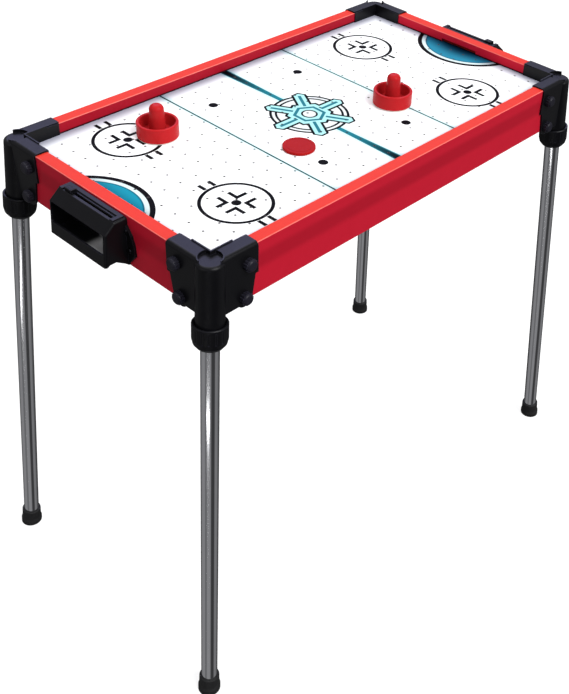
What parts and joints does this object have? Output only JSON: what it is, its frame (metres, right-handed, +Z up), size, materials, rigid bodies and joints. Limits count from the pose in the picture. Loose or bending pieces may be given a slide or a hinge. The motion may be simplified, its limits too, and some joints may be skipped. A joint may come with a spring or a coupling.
{
  "type": "air hockey table",
  "caption": "Small free-standing air hockey table: red railed board with printed rink, black corner brackets, goal boxes, splayed chrome legs, mallets, puck and a blower below.",
  "frame": {"origin": "centre of the footprint on the floor", "axes": "+X along the table from the left goal to the right goal, +Y to the back, +Z up"},
  "size_m": [0.9346, 0.5246, 0.8183],
  "materials": {
    "field": "printed white laminate on fibreboard",
    "rail": "red wrapped fibreboard",
    "hardboard": "bare hardboard",
    "batten": "planed pine",
    "black_plastic": "fine moulded texture",
    "nylon": "natural nylon",
    "chrome": "polished",
    "rubber": "matt",
    "black_screws": "black zinc plated",
    "zinc": "zinc plated",
    "red_plastic": "glossy moulded",
    "felt": "pressed felt",
    "foam": "closed cell foam",
    "steel": "ground",
    "grey_plastic": "moulded",
    "wire": "insulated wire"
  },
  "bodies": {
    "table": {"playfield": "field", "side_rail_front": "rail", "side_rail_back": "rail", "end_rail_left": "rail", "end_rail_right": "rail", "base_panel": "hardboard", "cross_batten_left": "batten", "goal_box_left": "black_plastic", "goal_box_screws_left": "black_screws", "cross_batten_right": "batten", "goal_box_right": "black_plastic", "goal_box_screws_right": "black_screws", "base_panel_screws": "zinc", "corner_bracket_front_left": "black_plastic", "thumb_screws_front_left": "black_plastic", "leg_collet_front_left": "nylon", "corner_bracket_front_right": "black_plastic", "thumb_screws_front_right": "black_plastic", "leg_collet_front_right": "nylon", "corner_bracket_back_left": "black_plastic", "thumb_screws_back_left": "black_plastic", "leg_collet_back_left": "nylon", "corner_bracket_back_right": "black_plastic", "thumb_screws_back_right": "black_plastic", "leg_collet_back_right": "nylon", "blower_gasket": "foam", "blower_housing": "black_plastic", "blower_screws": "zinc", "blower_grille": "black_plastic", "motor_mount": "black_plastic", "motor": "steel", "switch_bezel": "black_plastic", "dc_inlet": "black_plastic", "dc_inlet_pin": "steel", "motor_leads": "wire"},
    "score_left": {"score_slider_left": "black_plastic"},
    "mallet_left": {"mallet_left": "red_plastic", "mallet_felt_left": "felt"},
    "score_right": {"score_slider_right": "black_plastic"},
    "mallet_right": {"mallet_right": "red_plastic", "mallet_felt_right": "felt"},
    "puck": {"puck": "red_plastic"},
    "nut_front_left": {"lock_nut_front_left": "black_plastic"},
    "leg_front_left": {"leg_front_left": "chrome", "leg_foot_front_left": "rubber"},
    "nut_front_right": {"lock_nut_front_right": "black_plastic"},
    "leg_front_right": {"leg_front_right": "chrome", "leg_foot_front_right": "rubber"},
    "nut_back_left": {"lock_nut_back_left": "black_plastic"},
    "leg_back_left": {"leg_back_left": "chrome", "leg_foot_back_left": "rubber"},
    "nut_back_right": {"lock_nut_back_right": "black_plastic"},
    "leg_back_right": {"leg_back_right": "chrome", "leg_foot_back_right": "rubber"},
    "fan": {"motor_shaft": "steel", "impeller": "grey_plastic"},
    "rocker": {"power_rocker": "black_plastic"}
  },
  "joints": [
    {"name": "leg_pull_front_left", "type": "slide", "parent": "table", "child": "leg_front_left", "axis": [-0.087, -0.0521, -0.9948], "range_m": [0, 0.04]},
    {"name": "nut_turn_front_left", "type": "hinge", "parent": "table", "child": "nut_front_left", "pos_m": [-0.39106, -0.20953, 0.67], "axis": [-0.087, -0.0521, -0.9948], "range_deg": [0, 90]},
    {"name": "leg_pull_front_right", "type": "slide", "parent": "table", "child": "leg_front_right", "axis": [0.087, -0.0521, -0.9948], "range_m": [0, 0.04]},
    {"name": "nut_turn_front_right", "type": "hinge", "parent": "table", "child": "nut_front_right", "pos_m": [0.39106, -0.20953, 0.67], "axis": [0.087, -0.0521, -0.9948], "range_deg": [0, 90]},
    {"name": "leg_pull_back_left", "type": "slide", "parent": "table", "child": "leg_back_left", "axis": [-0.087, 0.0521, -0.9948], "range_m": [0, 0.04]},
    {"name": "nut_turn_back_left", "type": "hinge", "parent": "table", "child": "nut_back_left", "pos_m": [-0.39106, 0.20953, 0.67], "axis": [-0.087, 0.0521, -0.9948], "range_deg": [0, 90]},
    {"name": "leg_pull_back_right", "type": "slide", "parent": "table", "child": "leg_back_right", "axis": [0.087, 0.0521, -0.9948], "range_m": [0, 0.04]},
    {"name": "nut_turn_back_right", "type": "hinge", "parent": "table", "child": "nut_back_right", "pos_m": [0.39106, 0.20953, 0.67], "axis": [0.087, 0.0521, -0.9948], "range_deg": [0, 90]},
    {"name": "score_slide_left", "type": "slide", "parent": "table", "child": "score_left", "axis": [0, -1, 0], "range_m": [0, 0.08]},
    {"name": "score_slide_right", "type": "slide", "parent": "table", "child": "score_right", "axis": [0, 1, 0], "range_m": [0, 0.08]},
    {"name": "mallet_slide_left", "type": "slide", "parent": "table", "child": "mallet_left", "axis": [0, 1, 0], "range_m": [-0.264, 0.062]},
    {"name": "mallet_slide_right", "type": "slide", "parent": "table", "child": "mallet_right", "axis": [0, 1, 0], "range_m": [-0.104, 0.226]},
    {"name": "puck_slide", "type": "slide", "parent": "table", "child": "puck", "axis": [0, 1, 0], "range_m": [-0.108, 0.235]},
    {"name": "fan_spin", "type": "hinge", "parent": "table", "child": "fan", "pos_m": [0, 0, 0.7], "axis": [0, 0, 1], "continuous": true},
    {"name": "power_switch", "type": "hinge", "parent": "table", "child": "rocker", "pos_m": [-0.025, -0.054, 0.688], "axis": [-1, 0, 0], "range_deg": [0, 18]}
  ]
}
